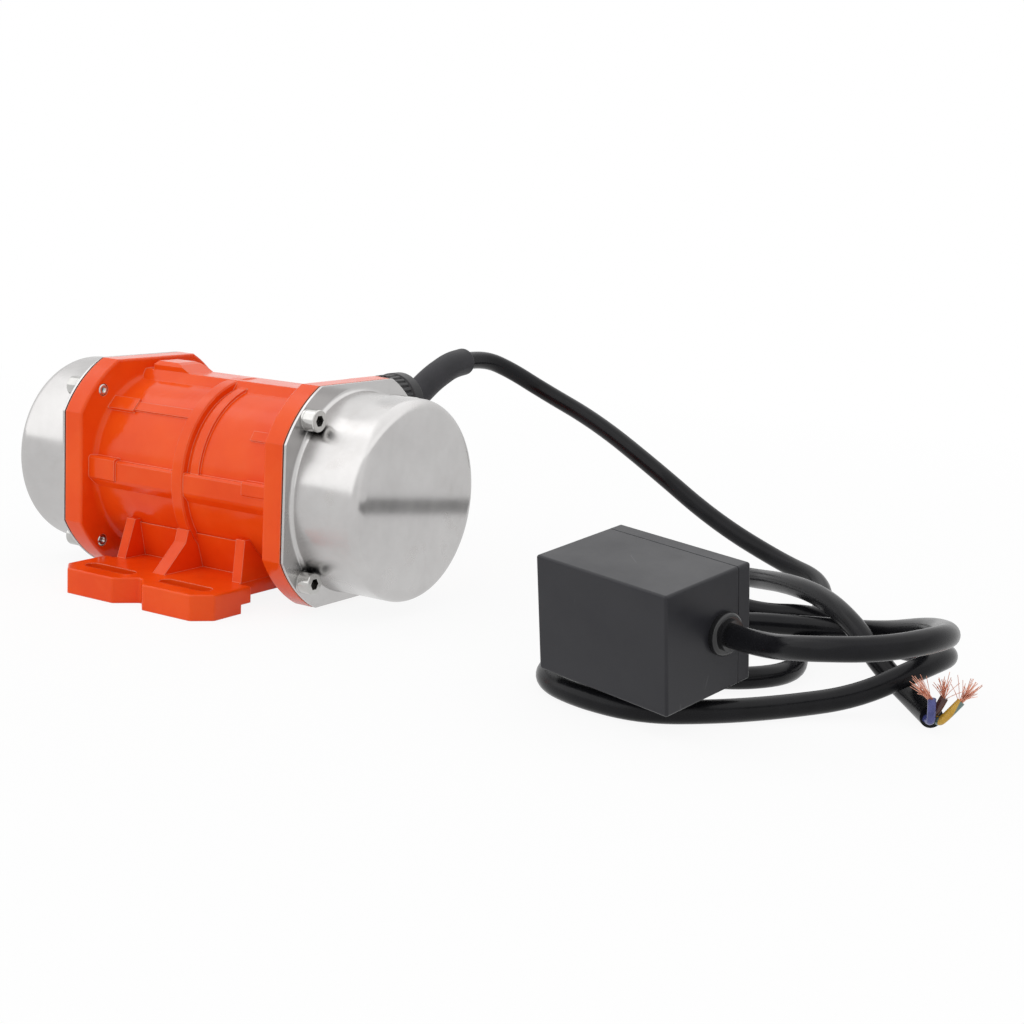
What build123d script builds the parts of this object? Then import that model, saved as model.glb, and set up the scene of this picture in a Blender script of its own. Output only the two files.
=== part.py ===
from build123d import *
import os
from math import cos, hypot, radians, sin, tan

# Vibration motor: a cast housing on slotted feet with an unbalanced rotor, drawn steel end covers,
# and a flying lead that runs through a separate capacitor box.
# Millimetres. X runs along the shaft, -Y is the front, +Z is up, z = 0 is under the feet.
os.makedirs("parts", exist_ok=True)

# Housing casting
SHAFT_HEIGHT = 45.0
HOUSING_LENGTH = 112.6
FLANGE_MARGIN = 11.8
FLANGE_TRIM_MARGIN = 4.4
FLANGE_THICKNESS = 9.0
FLANGE_EDGE_R = 1.0
BODY_R = 36.0
BODY_WALL = 3.0
BODY_TO_FLANGE_R = 2.5
BAND_HEIGHT = 3.0
BAND_WIDTH = 6.0
BEAD_HEIGHT = 1.2
BEAD_WIDTH = 4.0
BEAD_GAP = 2.6
SIDE_RIB_WIDTH = 8.6
SIDE_RIB_HEIGHT = 2.2
SIDE_RIB_FOOT = 8.7
SIDE_RIB_DRAFT = 0.8
SIDE_PAD_HEIGHT = 0.9
SIDE_PAD_LENGTH = 14.0
TOP_RIB_FOOT = 21.0
TOP_RIB_CREST = 14.0
TOP_RIB_HEIGHT = 2.6
TOP_BOSS_START = 4.5
TOP_BOSS_LENGTH = 13.0
TOP_BOSS_SLOPE = 7.0
TOP_BOSS_WIDTH = 14.0
TOP_BOSS_HEIGHT = 6.2
UPPER_RIB_ANGLE = 44.5
UPPER_RIB_WIDTH = 4.2
UPPER_RIB_HEIGHT = 0.9
UPPER_PAD_HEIGHT = 0.6
STUB_RIB_ANGLE = 36.0
STUB_RIB_LENGTH = 17.0

# Feet and the cast pedestal above them
FOOT_DEPTH = 130.0
FOOT_LENGTH = 77.0
FOOT_THICKNESS = 10.0
FOOT_CHAMFER = 6.5
FOOT_NOTCH = 7.8
FOOT_PAD_DEPTH = 21.6
FOOT_LEDGE_DEPTH = 27.0
FOOT_LEDGE_RELIEF = 3.5
WEB_THICKNESS = 5.5
WEB_LENGTH = 66.0
SLOT_LENGTH = 25.0
SLOT_WIDTH = 6.6
SLOT_PITCH_X = 39.6
SLOT_PITCH_Y = 108.0
SADDLE_TOP_Y = 30.3
SADDLE_TOP_Z = -20.6
SADDLE_BOTTOM_Y = 25.5
SADDLE_WALL = 4.0
GUSSET_THICKNESS = 4.5
GUSSET_X = 30.7
GUSSET_LEAN = 1.8
GUSSET_TOP_Y = 33.5
GUSSET_TOP_Z = -19.0
GUSSET_BOTTOM_Y = 37.5
CENTRE_GUSSET_STEP = 1.0
CENTRE_GUSSET_FLARE = 1.5
CENTRE_GUSSET_SHOULDER = 11.0
CENTRE_GUSSET_Y = 49.0

# Cable entry on the rear of the housing
GLAND_X = 33.0
GLAND_Z = 28.0
GLAND_BOSS_R = 12.0
GLAND_BOSS_Y = 46.0
GLAND_BOSS_ROOT_R = 5.0
GLAND_BOSS_ROOT_Y = 14.0
GLAND_BOSS_SHOULDER_Y = 30.0
GLAND_THREAD_R = 8.0
GLAND_COLLAR = 4.0
GLAND_COLLAR_R = 11.5
GLAND_NUT_R = 12.5
GLAND_NUT_LENGTH = 14.0
GLAND_GRIP_R = 12.1
GLAND_GRIP_LENGTH = 7.0
GLAND_RIM = 0.8
GLAND_NUT_MOUTH_R = 7.6
GLAND_TEETH = 30
GLAND_TOOTH = 1.1
SEAL_THICKNESS = 2.0
SLEEVE_R = 6.0

# Stator and rotor
CORE_LENGTH = 44.0
CORE_SLOTS = 12
SLOT_DEPTH = 8.0
SLOT_MOUTH = 4.6
AIR_GAP = 0.3
ROTOR_R = 17.2
WINDING_OVERHANG = 13.0
ROTOR_BARS = 14
ROTOR_BAR_R = 1.3
END_RING_THICKNESS = 4.0
END_RING_WALL = 5.2

# Shaft, bearings and end shields
SHAFT_CORE_R = 9.0
BEARING_BORE = 15.0
BEARING_OD = 35.0
BEARING_WIDTH = 11.0
BEARING_X = 44.0
BALL_R = 2.95
BALL_COUNT = 8
RACE_WALL = 3.3
SHIELD_R = 38.0
SHIELD_RIM = 4.0
SHIELD_HUB_WALL = 4.5
SHIELD_LIP = 2.0
RING_THICKNESS = 1.5
RING_GROOVE = 1.4

# Eccentric weights
WEIGHT_SEAT_R = 6.0
WEIGHT_R = 34.0
WEIGHT_ANGLE = 160.0
WEIGHT_THICKNESS = 9.0
WEIGHT_HUB_R = 12.5
WEIGHT_X = 59.0
WEIGHT_SPACER = 1.0
CLAMP_SLIT = 1.6
CLAMP_LUG_WIDTH = 17.0
CLAMP_SCREW_R = 2.0
CLAMP_HEAD_R = 3.5
CLAMP_HEAD = 4.0
KEY_SIZE = 4.0
SHAFT_TAIL = 3.0

# Drawn steel covers and their gaskets
GASKET_THICKNESS = 0.7
GASKET_INSET = 0.4
COVER_SHEET = 1.0
CUP_R = 39.5
CUP_DEPTH = 31.1
CUP_NOSE_R = 5.0
CUP_ROOT_R = 1.8
SCREW_TO_CUP = 0.37
SCREW_R = 2.5
SCREW_HEAD_R = 4.25
SCREW_HEAD = 5.0
SCREW_SOCKET = 4.0
SCREW_LENGTH = 12.0
SCREW_POINT = 0.5
WASHER_THICKNESS = 1.1
WASHER_R = 4.3

# Capacitor box, tilted where it lies on the cable
BOX_WIDTH = 56.0
BOX_DEPTH = 40.0
BOX_HEIGHT = 40.0
BOX_WALL = 2.5
BOX_EDGE_R = 1.0
BOX_SEAM_BEVEL = 0.25
LID_DEPTH = 6.0
BOX_CORNER = (235.9, -74.3, 7.9)
BOX_YAW = -14.5
BOX_TILT = 9.5
GROMMET_Y = 26.6
GROMMET_R = 7.2
GROMMET_NECK_R = 5.6
GROMMET_NOSE = 4.0
GROMMET_NOSE_R = 5.2
GROMMET_LIP = 2.6
POST_R = 3.2
BOX_SCREW_R = 1.5

# Cables
CABLE_D = 7.8
CORE_R = 1.4
STRANDS_R = 0.75
CORE_LENGTH_OUT = 9.0
STRANDS_LENGTH = 8.0

# Clearances
FIT = 0.02
RUNNING = 0.05
SLACK = 0.3

# Places worked out from the sizes above
SCREW_CIRCLE_R = CUP_R + SCREW_TO_CUP + SCREW_HEAD_R
COVER_SCREW_PITCH = SCREW_CIRCLE_R * 2 ** 0.5
FLANGE_SQUARE = COVER_SCREW_PITCH + 2 * FLANGE_MARGIN
FLANGE_TRIM_R = SCREW_CIRCLE_R + FLANGE_TRIM_MARGIN
FLANGE_FACE = HOUSING_LENGTH / 2
FLANGE_BACK = FLANGE_FACE - FLANGE_THICKNESS
FOOT_TOP = FOOT_THICKNESS - SHAFT_HEIGHT
STATOR_R = BODY_R - BODY_WALL
CORE_BORE_R = ROTOR_R + AIR_GAP
SHIELD_SEAT = FLANGE_FACE - SHIELD_RIM - RING_THICKNESS - SLACK - RUNNING
COVER_FACE = FLANGE_FACE + GASKET_THICKNESS
PLATE_FACE = COVER_FACE + COVER_SHEET
CUP_END = PLATE_FACE + CUP_DEPTH
BEARING_END = BEARING_X + BEARING_WIDTH
ADJUSTABLE_X = WEIGHT_X + WEIGHT_THICKNESS + WEIGHT_SPACER
WEIGHTS_END = ADJUSTABLE_X + WEIGHT_THICKNESS + RUNNING
SHAFT_END = WEIGHTS_END + RUNNING + RING_THICKNESS + SHAFT_TAIL
CLAMP_Z = WEIGHT_SEAT_R + CLAMP_SCREW_R + 2.2
BUNDLE_R = (CORE_R + SLACK / 3) * 2 / 3 ** 0.5
LEAD_HOLE_R = BUNDLE_R + CORE_R + SLACK
WINDING_R = STATOR_R - 1.5
NUT_START = GLAND_BOSS_Y + GLAND_COLLAR
NUT_END = NUT_START + GLAND_NUT_LENGTH
SEAL_START = NUT_START + 6
SEAL_END = SEAL_START + SEAL_THICKNESS
SIDES = {"left": -1, "right": 1}

LIFT = Pos(0, 0, SHAFT_HEIGHT)
BOX_FRAME = Pos(*BOX_CORNER) * Rot(BOX_TILT, 0, 0) * Rot(0, 0, BOX_YAW)


# Shared shapes

def turned(*outline):
    """Revolve a profile of (x, radius) points about the shaft."""
    return revolve(Plane.XZ * Polygon(*outline, align=None), Axis.X)


def disc(x0, x1, outer, inner=0.0):
    """A washer-like ring between two places along the shaft."""
    low, high = sorted((x0, x1))
    ring = Circle(outer) - Circle(inner) if inner > 0 else Circle(outer)
    return extrude(Plane.YZ.offset(low) * ring, high - low, dir=(1, 0, 0))


def plate(outline, x0, x1):
    """Extrude an outline drawn square to the shaft."""
    low, high = sorted((x0, x1))
    return extrude(Plane.YZ.offset(low) * outline, high - low, dir=(1, 0, 0))


def block(x0, x1, y0, y1, z0, z1):
    """A block given by its faces."""
    size = (abs(x1 - x0), abs(y1 - y0), abs(z1 - z0))
    return Pos((x0 + x1) / 2, (y0 + y1) / 2, (z0 + z1) / 2) * Box(*size)


def on_side(part, side):
    """Pieces are drawn for the right-hand end and mirrored for the left."""
    return part if side > 0 else mirror(part, about=Plane.YZ)


def square_pattern(pitch):
    """The four corners of a square bolt pattern, as (y, z)."""
    return [(pitch / 2 * sy, pitch / 2 * sz) for sy in (-1, 1) for sz in (-1, 1)]


def flange_outline(inset=0.0):
    """A square whose corners are trimmed by a circle."""
    square = Rectangle(FLANGE_SQUARE - 2 * inset, FLANGE_SQUARE - 2 * inset)
    return square & Circle(FLANGE_TRIM_R - inset)


def socket_screw(radius, head_radius, head, length, socket):
    """Socket head cap screw along -X from the origin, head on +X, with a cupped point."""
    shank = disc(-length, 0, radius - FIT)
    shank = chamfer(shank.edges().group_by(Axis.X)[0], SCREW_POINT)
    cup_bottom = radius - 2 * SCREW_POINT - length
    shank -= turned((-length - 1, radius - SCREW_POINT), (cup_bottom, 0), (-length - 1, 0))
    top = disc(0, head, head_radius)
    top = fillet(top.edges().group_by(Axis.X)[-1], head_radius / 9)
    hexagon = RegularPolygon(socket / 2, 6, major_radius=False)
    recess = plate(hexagon, head / 2, head)
    return shank + top - recess


def group(pieces):
    """Like pieces kept as separate solids in one node."""
    return Compound([solid for piece in pieces for solid in piece.solids()])


def tube(points, diameter, name):
    """A cable of straight runs joined by tangent arcs."""
    route = [Vector(*p) for p in points]
    bends = []
    for before, corner, after in zip(route, route[1:], route[2:]):
        arriving = corner - before
        leaving = after - corner
        turn = radians(arriving.get_angle(leaving))
        bends.append(0.45 * min(arriving.length, leaving.length) / tan(turn / 2))
    print(name, "bend radii", [round(r) for r in bends])
    path = FilletPolyline(*route, radius=bends)
    section = Plane(origin=path @ 0, z_dir=path % 0) * Circle(diameter / 2)
    cable = sweep(section, path)
    area = 3.14159 * diameter ** 2 / 4
    print(name, "length", round(path.length), "volume over section x length",
          round(cable.volume / (area * path.length), 3))
    return cable


def save(node, part):
    """Write one node, a solid or a group of like pieces, and print what it holds."""
    part.label = node
    export_step(part, "parts/" + node + ".step")
    print(node, len(part.solids()), round(part.volume))


# Housing casting

def housing_barrel():
    """Barrel and end flanges, with the centre band and the narrow bead beside it."""
    barrel = disc(-FLANGE_BACK, FLANGE_BACK, BODY_R)
    for side in (-1, 1):
        flange = plate(flange_outline(), side * FLANGE_BACK, side * FLANGE_FACE)
        inner_rim = flange.edges().group_by(Axis.X)[-1 if side < 0 else 0]
        barrel += fillet(inner_rim, FLANGE_EDGE_R)
    corners = barrel.edges().filter_by(GeomType.CIRCLE)
    corners = corners.filter_by(lambda e: abs(e.radius - BODY_R) < 0.01)
    barrel = fillet(corners, BODY_TO_FLANGE_R)
    band = disc(-BAND_WIDTH / 2, BAND_WIDTH / 2, BODY_R + BAND_HEIGHT)
    band = chamfer(band.edges().filter_by(GeomType.CIRCLE), 0.6)
    bead_start = BAND_WIDTH / 2 + BEAD_GAP
    bead = disc(bead_start, bead_start + BEAD_WIDTH, BODY_R + BEAD_HEIGHT)
    upper = block(bead_start - 1, bead_start + BEAD_WIDTH + 1, -BODY_R * 2, BODY_R * 2,
                  SIDE_RIB_WIDTH / 2, BODY_R * 2)
    return barrel + band + (bead & upper)


def housing_ribs():
    """Cast ribs along the barrel: the parting-line ribs, the top rib and the short upper ones."""
    rib_face = BODY_R + SIDE_RIB_HEIGHT
    half = SIDE_RIB_WIDTH / 2
    foot = (BODY_R ** 2 - SIDE_RIB_FOOT ** 2) ** 0.5 - SIDE_RIB_DRAFT
    section = Polygon((-rib_face, half), (-rib_face, -half), (-foot, -SIDE_RIB_FOOT), (foot, -SIDE_RIB_FOOT),
                      (rib_face, -half), (rib_face, half), align=None)
    ribs = plate(section, -FLANGE_BACK, FLANGE_BACK)
    outer_edges = ribs.edges().filter_by(Axis.X).filter_by(lambda e: abs(e.center().Y) > BODY_R)
    ribs = chamfer(outer_edges, SIDE_RIB_DRAFT)
    pad = rib_face + SIDE_PAD_HEIGHT
    reach = FLANGE_BACK - SIDE_PAD_LENGTH
    pads = block(-FLANGE_BACK, -reach, -pad, pad, -half, half + SIDE_PAD_HEIGHT)
    pads += block(reach, FLANGE_BACK, -pad, pad, -half / 8, half + SIDE_PAD_HEIGHT)
    ribs += chamfer(pads.edges().filter_by(Axis.X), SIDE_RIB_DRAFT)
    crest = BODY_R + TOP_RIB_HEIGHT
    root = BODY_R - 2
    top = Polygon((-TOP_RIB_FOOT / 2, root), (TOP_RIB_FOOT / 2, root), (TOP_RIB_CREST / 2, crest),
                  (-TOP_RIB_CREST / 2, crest), align=None)
    ribs += plate(top, -FLANGE_BACK, FLANGE_BACK)
    start = -FLANGE_BACK + TOP_BOSS_START
    end = start + TOP_BOSS_LENGTH
    slope_end = end + TOP_BOSS_SLOPE
    profile = Polygon((start, root), (slope_end, root), (slope_end, crest), (end, BODY_R + TOP_BOSS_HEIGHT),
                      (start, BODY_R + TOP_BOSS_HEIGHT), align=None)
    boss = extrude(Plane.XZ * profile, TOP_BOSS_WIDTH / 2, both=True)
    ribs += chamfer(boss.edges().group_by(Axis.Z)[-1], 1.5)
    for front in (0, 180):
        upper = block(-FLANGE_BACK, -BAND_WIDTH / 2, root, BODY_R + UPPER_RIB_HEIGHT,
                      -UPPER_RIB_WIDTH / 2, UPPER_RIB_WIDTH / 2)
        upper += block(-FLANGE_BACK, -reach, root, BODY_R + UPPER_RIB_HEIGHT + UPPER_PAD_HEIGHT,
                       -UPPER_RIB_WIDTH / 2 - 1, UPPER_RIB_WIDTH / 2 + 1)
        angle = UPPER_RIB_ANGLE if front else 180 - UPPER_RIB_ANGLE
        ribs += Rot(angle, 0, 0) * upper
        stub = block(FLANGE_BACK - STUB_RIB_LENGTH, FLANGE_BACK, root, BODY_R + UPPER_RIB_HEIGHT,
                     -UPPER_RIB_WIDTH / 2, UPPER_RIB_WIDTH / 2)
        angle = STUB_RIB_ANGLE if front else 180 - STUB_RIB_ANGLE
        ribs += Rot(angle, 0, 0) * stub
    return ribs


def foot_outline():
    """Front foot seen from above: two lobes with a notch between them."""
    edge = FOOT_DEPTH / 2
    half = FOOT_LENGTH / 2
    inner = edge - FOOT_LEDGE_DEPTH
    right = [(0, FOOT_NOTCH - edge), (FOOT_NOTCH, -edge), (half - FOOT_CHAMFER, -edge),
             (half, FOOT_CHAMFER - edge), (half, -inner)]
    left = [(-x, y) for x, y in reversed(right[1:])]
    outline = Polygon(*right, *left, align=None)
    outer = outline.vertices().filter_by(lambda v: v.Y < -inner - 1)
    return fillet(outer, 1.5)


def feet():
    """Two slotted feet, relieved underneath behind the pads, and the web that joins them."""
    floor = -SHAFT_HEIGHT
    front = extrude(Pos(0, 0, floor) * foot_outline(), FOOT_THICKNESS, dir=(0, 0, 1))
    front = fillet(front.edges().group_by(Axis.Z)[-1], 0.8)
    inner = FOOT_DEPTH / 2 - FOOT_PAD_DEPTH
    front -= block(-FOOT_LENGTH, FOOT_LENGTH, -inner, 0, floor, floor + FOOT_LEDGE_RELIEF)
    for side in (-1, 1):
        slot = SlotOverall(SLOT_LENGTH, SLOT_WIDTH)
        place = Pos(side * SLOT_PITCH_X / 2, -SLOT_PITCH_Y / 2, floor)
        front -= extrude(place * slot, FOOT_THICKNESS, dir=(0, 0, 1))
    ledge = FOOT_DEPTH / 2 - FOOT_LEDGE_DEPTH + 1
    web = block(-WEB_LENGTH / 2, WEB_LENGTH / 2, -ledge, ledge, FOOT_TOP - WEB_THICKNESS, FOOT_TOP)
    return front + mirror(front, about=Plane.XZ) + web


def pedestal():
    """Saddle walls and gussets between the feet and the barrel, open from below."""
    walls = Polygon((-SADDLE_TOP_Y, SADDLE_TOP_Z), (SADDLE_TOP_Y, SADDLE_TOP_Z),
                    (SADDLE_BOTTOM_Y, FOOT_TOP - 1), (-SADDLE_BOTTOM_Y, FOOT_TOP - 1), align=None)
    body = plate(walls, -GUSSET_X, GUSSET_X)
    root = FOOT_TOP - 1
    end = Polygon((-GUSSET_TOP_Y, GUSSET_TOP_Z), (GUSSET_TOP_Y, GUSSET_TOP_Z), (GUSSET_BOTTOM_Y, root),
                  (-GUSSET_BOTTOM_Y, root), align=None)
    inside = GUSSET_X - GUSSET_THICKNESS / 2
    outside = GUSSET_X + GUSSET_THICKNESS / 2
    leaning = Polygon((inside, root), (outside, root), (outside - GUSSET_LEAN, GUSSET_TOP_Z),
                      (inside - GUSSET_LEAN, GUSSET_TOP_Z), align=None)
    leaning = extrude(Plane.XZ * leaning, GUSSET_BOTTOM_Y, both=True)
    gusset = plate(end, inside - GUSSET_LEAN, outside) & leaning
    body += gusset + mirror(gusset, about=Plane.YZ)
    shoulder = FOOT_TOP + CENTRE_GUSSET_SHOULDER
    top_y = GUSSET_TOP_Y + CENTRE_GUSSET_STEP
    shoulder_y = top_y + CENTRE_GUSSET_FLARE
    centre = Polygon((-top_y, GUSSET_TOP_Z), (top_y, GUSSET_TOP_Z), (shoulder_y, shoulder),
                     (CENTRE_GUSSET_Y, root), (-CENTRE_GUSSET_Y, root), (-shoulder_y, shoulder), align=None)
    body += plate(centre, -BAND_WIDTH / 2, BAND_WIDTH / 2)
    return body


def pedestal_pockets():
    """The two core pockets under the pedestal, one each side of the centre gusset."""
    inner = SADDLE_BOTTOM_Y - SADDLE_WALL
    start = BAND_WIDTH / 2
    end = GUSSET_X - GUSSET_THICKNESS / 2
    pockets = [block(side * start, side * end, -inner, inner, -SHAFT_HEIGHT, SADDLE_TOP_Z)
               for side in (-1, 1)]
    return pockets[0] + pockets[1] - disc(-GUSSET_X, GUSSET_X, BODY_R)


def housing_base():
    """Feet and pedestal of the orange casting, up to the underside of the barrel."""
    return pedestal() + feet() - pedestal_pockets() - housing_barrel()


def housing():
    """Barrel of the orange casting, cored for the stator and machined for shields and screws."""
    boss = turned_on_entry((GLAND_BOSS_ROOT_Y, 0), (GLAND_BOSS_ROOT_Y, GLAND_BOSS_ROOT_R),
                           (GLAND_BOSS_SHOULDER_Y, GLAND_BOSS_R), (GLAND_BOSS_Y, GLAND_BOSS_R),
                           (GLAND_BOSS_Y, 0))
    casting = housing_barrel() + housing_ribs() + boss
    casting -= disc(-FLANGE_FACE, FLANGE_FACE, STATOR_R)
    for side in (-1, 1):
        casting -= disc(side * SHIELD_SEAT, side * FLANGE_FACE, SHIELD_R)
        groove = side * (SHIELD_SEAT + SHIELD_RIM + RUNNING)
        casting -= disc(groove, groove + side * (RING_THICKNESS + RUNNING), SHIELD_R + RING_GROOVE)
        for y, z in square_pattern(COVER_SCREW_PITCH):
            casting -= Pos(0, y, z) * disc(side * FLANGE_BACK, side * FLANGE_FACE, SCREW_R)
    thread = Cylinder(GLAND_THREAD_R, 2 * GLAND_COLLAR + 2)
    casting -= Pos(GLAND_X, GLAND_BOSS_Y - GLAND_COLLAR - 1, GLAND_Z) * Rot(90, 0, 0) * thread
    lead_hole = Cylinder(LEAD_HOLE_R, GLAND_BOSS_Y)
    casting -= Pos(GLAND_X, GLAND_BOSS_Y / 2, GLAND_Z) * Rot(90, 0, 0) * lead_hole
    return casting


# Stator

def stator_slot(margin, length):
    """One winding slot, or the copper in it when it has a margin."""
    top = CORE_BORE_R + SLOT_DEPTH
    mouth = SLOT_MOUTH / 2
    outline = Polygon((-mouth + margin, CORE_BORE_R - 1), (mouth - margin, CORE_BORE_R - 1),
                      (mouth + 0.8 - margin, top - margin), (-mouth - 0.8 + margin, top - margin),
                      align=None)
    return plate(outline, -length / 2, length / 2)


def stator_core():
    """Laminated stack with open slots round its bore."""
    core = disc(-CORE_LENGTH / 2, CORE_LENGTH / 2, STATOR_R - FIT, CORE_BORE_R)
    for i in range(CORE_SLOTS):
        core -= Rot(360 / CORE_SLOTS * i, 0, 0) * stator_slot(0, CORE_LENGTH)
    return core


def stator_winding():
    """Copper that fills the slots and turns over in a bundle at each end of the stack."""
    low = CORE_BORE_R + 1.5
    high = WINDING_R
    start = CORE_LENGTH / 2
    end = start + WINDING_OVERHANG
    head = turned((start, low), (start, CORE_BORE_R + SLOT_DEPTH), (start + 3, high), (end - 2, high),
                  (end, high - 3), (end, low + 3), (end - 2, low))
    bar = stator_slot(RUNNING, CORE_LENGTH + 2) - disc(-CORE_LENGTH, CORE_LENGTH, low)
    bars = [Rot(360 / CORE_SLOTS * i, 0, 0) * bar for i in range(CORE_SLOTS)]
    return head.fuse(mirror(head, about=Plane.YZ), *bars)


def motor_leads():
    """The insulated leads from the winding out through the cable entry."""
    start = (WINDING_R ** 2 - (GLAND_Z - BUNDLE_R - CORE_R) ** 2) ** 0.5
    end = NUT_START + GLAND_COLLAR + 2
    bar = Rot(90, 0, 0) * Cylinder(CORE_R, end - start)
    angles = [radians(120 * i) for i in (0, 1, 2)]
    places = [(GLAND_X + BUNDLE_R * sin(a), GLAND_Z - BUNDLE_R * cos(a)) for a in angles]
    return group([Pos(x, (start + end) / 2, z) * bar for x, z in places])


# Rotor and shaft

def shaft():
    """Stepped shaft with seats for the rotor, the bearings and the weights."""
    groove_start = WEIGHTS_END + RUNNING
    groove_end = groove_start + RING_THICKNESS
    half = [(0, SHAFT_CORE_R), (BEARING_X - RUNNING, SHAFT_CORE_R), (BEARING_X - RUNNING, BEARING_BORE / 2),
            (BEARING_END + 2, BEARING_BORE / 2), (BEARING_END + 2, WEIGHT_SEAT_R),
            (groove_start, WEIGHT_SEAT_R), (groove_start, WEIGHT_SEAT_R - 0.8),
            (groove_end, WEIGHT_SEAT_R - 0.8), (groove_end, WEIGHT_SEAT_R),
            (SHAFT_END - 1, WEIGHT_SEAT_R), (SHAFT_END, WEIGHT_SEAT_R - 1), (SHAFT_END, 0), (0, 0)]
    right = turned(*half)
    bar = right + mirror(right, about=Plane.YZ)
    for side in (-1, 1):
        bar -= key(side, 0)
    return bar


def key(side, clearance=RUNNING):
    """Parallel key that drives the fixed weight."""
    width = KEY_SIZE / 2 - clearance
    depth = WEIGHT_SEAT_R + KEY_SIZE / 2
    return block(side * (WEIGHT_X + clearance), side * (WEIGHT_X + WEIGHT_THICKNESS - clearance),
                 -width, width, depth - KEY_SIZE + clearance, depth - clearance)


def rotor_bar_places():
    """Angles of the cage bars round the rotor."""
    return [360 / ROTOR_BARS * i for i in range(ROTOR_BARS)]


def rotor_core():
    """Laminated rotor stack, bored for the cage bars."""
    core = disc(-CORE_LENGTH / 2, CORE_LENGTH / 2, ROTOR_R, SHAFT_CORE_R + FIT)
    for angle in rotor_bar_places():
        hole = Pos(0, 0, ROTOR_R - ROTOR_BAR_R - 1) * disc(-CORE_LENGTH, CORE_LENGTH, ROTOR_BAR_R)
        core -= Rot(angle, 0, 0) * hole
    return core


def rotor_cage():
    """Cast aluminium cage: bars through the stack and a ring at each end."""
    cage = None
    for side in (-1, 1):
        start = side * CORE_LENGTH / 2
        ring = disc(start, start + side * END_RING_THICKNESS, ROTOR_R - 0.4, ROTOR_R - END_RING_WALL)
        cage = ring if cage is None else cage + ring
    for angle in rotor_bar_places():
        bar = disc(-CORE_LENGTH / 2, CORE_LENGTH / 2, ROTOR_BAR_R - FIT)
        cage += Rot(angle, 0, 0) * Pos(0, 0, ROTOR_R - ROTOR_BAR_R - 1) * bar
    return cage


# Ball bearings

def bearing_groove():
    """The ball track, cut into both rings with a running clearance."""
    pitch = (BEARING_BORE + BEARING_OD) / 4
    middle = BEARING_X + BEARING_WIDTH / 2
    section = Pos(middle, pitch) * Circle(BALL_R + RUNNING)
    return revolve(Plane.XZ * section, Axis.X)


def bearing_outer():
    """Outer ring, pressed into the end shield."""
    outer = BEARING_OD / 2
    return disc(BEARING_X, BEARING_END, outer - FIT, outer - RACE_WALL) - bearing_groove()


def bearing_inner():
    """Inner ring, on the shaft seat."""
    inner = BEARING_BORE / 2
    return disc(BEARING_X, BEARING_END, inner + RACE_WALL, inner + FIT) - bearing_groove()


def bearing_ball_places():
    """Places of the balls, as (y, z)."""
    pitch = (BEARING_BORE + BEARING_OD) / 4
    angles = [radians(360 / BALL_COUNT * i) for i in range(BALL_COUNT)]
    return [(pitch * sin(a), pitch * cos(a)) for a in angles]


def bearing_balls():
    """The ring of balls."""
    middle = BEARING_X + BEARING_WIDTH / 2
    return group([Pos(middle, y, z) * Sphere(BALL_R) for y, z in bearing_ball_places()])


def bearing_cage():
    """Pressed ribbon that spaces the balls."""
    pitch = (BEARING_BORE + BEARING_OD) / 4
    middle = BEARING_X + BEARING_WIDTH / 2
    ribbon = disc(middle - 2, middle + 2, pitch + 0.9, pitch - 0.9)
    for y, z in bearing_ball_places():
        ribbon -= Pos(middle, y, z) * Sphere(BALL_R + 2 * RUNNING)
    return group([ribbon])


# End shields and their rings

def end_shield():
    """Cast disc that carries the bearing and seats in the housing counterbore."""
    hub = BEARING_OD / 2 + SHIELD_HUB_WALL
    rim_end = SHIELD_SEAT + SHIELD_RIM
    bore = BEARING_OD / 2
    lip = BEARING_X - SHIELD_LIP
    return turned((SHIELD_SEAT, SHIELD_R - FIT), (rim_end, SHIELD_R - FIT), (rim_end, STATOR_R - 2),
                  (rim_end - 1.5, STATOR_R - 4), (rim_end - 1.5, hub + 2), (BEARING_END, hub),
                  (BEARING_END, bore), (BEARING_X - RUNNING, bore), (BEARING_X - RUNNING, bore - 2.5),
                  (lip, bore - 2.5), (lip, hub), (SHIELD_SEAT - 1, hub + 1), (SHIELD_SEAT, STATOR_R - 4))


def shield_ring():
    """Internal retaining ring in its groove, with a gap and two eyes."""
    start = SHIELD_SEAT + SHIELD_RIM + RUNNING * 1.5
    ring = disc(start, start + RING_THICKNESS - RUNNING, SHIELD_R + RING_GROOVE - RUNNING, SHIELD_R - 2.6)
    gap = block(start - 1, start + RING_THICKNESS + 1, -3, 3, SHIELD_R - 9, SHIELD_R + 9)
    ring -= gap
    for side in (-1, 1):
        eye = disc(start, start + RING_THICKNESS - RUNNING, 2.6, 1.1)
        ring += Pos(0, side * 5.5, SHIELD_R - 3.6) * eye
        ring -= Pos(0, side * 5.5, SHIELD_R - 3.6) * disc(start - 1, start + RING_THICKNESS + 1, 1.1)
    return ring


# Eccentric weights

def weight_outline():
    """Hub with a sector below it."""
    half = WEIGHT_ANGLE / 2
    start = -90 - half
    reach = 2 * WEIGHT_R
    corners = [(reach * cos(radians(start + WEIGHT_ANGLE / 4 * i)),
                reach * sin(radians(start + WEIGHT_ANGLE / 4 * i))) for i in range(5)]
    sector = Circle(WEIGHT_R) & Polygon((0, 0), *corners, align=None)
    sector = fillet(sector.vertices().filter_by(lambda v: hypot(v.X, v.Y) > 1), 2)
    return sector + Circle(WEIGHT_HUB_R)


def fixed_weight():
    """Inner weight, keyed to the shaft."""
    weight = plate(weight_outline(), WEIGHT_X, WEIGHT_X + WEIGHT_THICKNESS)
    weight -= disc(WEIGHT_X, WEIGHT_X + WEIGHT_THICKNESS, WEIGHT_SEAT_R + FIT)
    return weight - key(1, 0)


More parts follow.
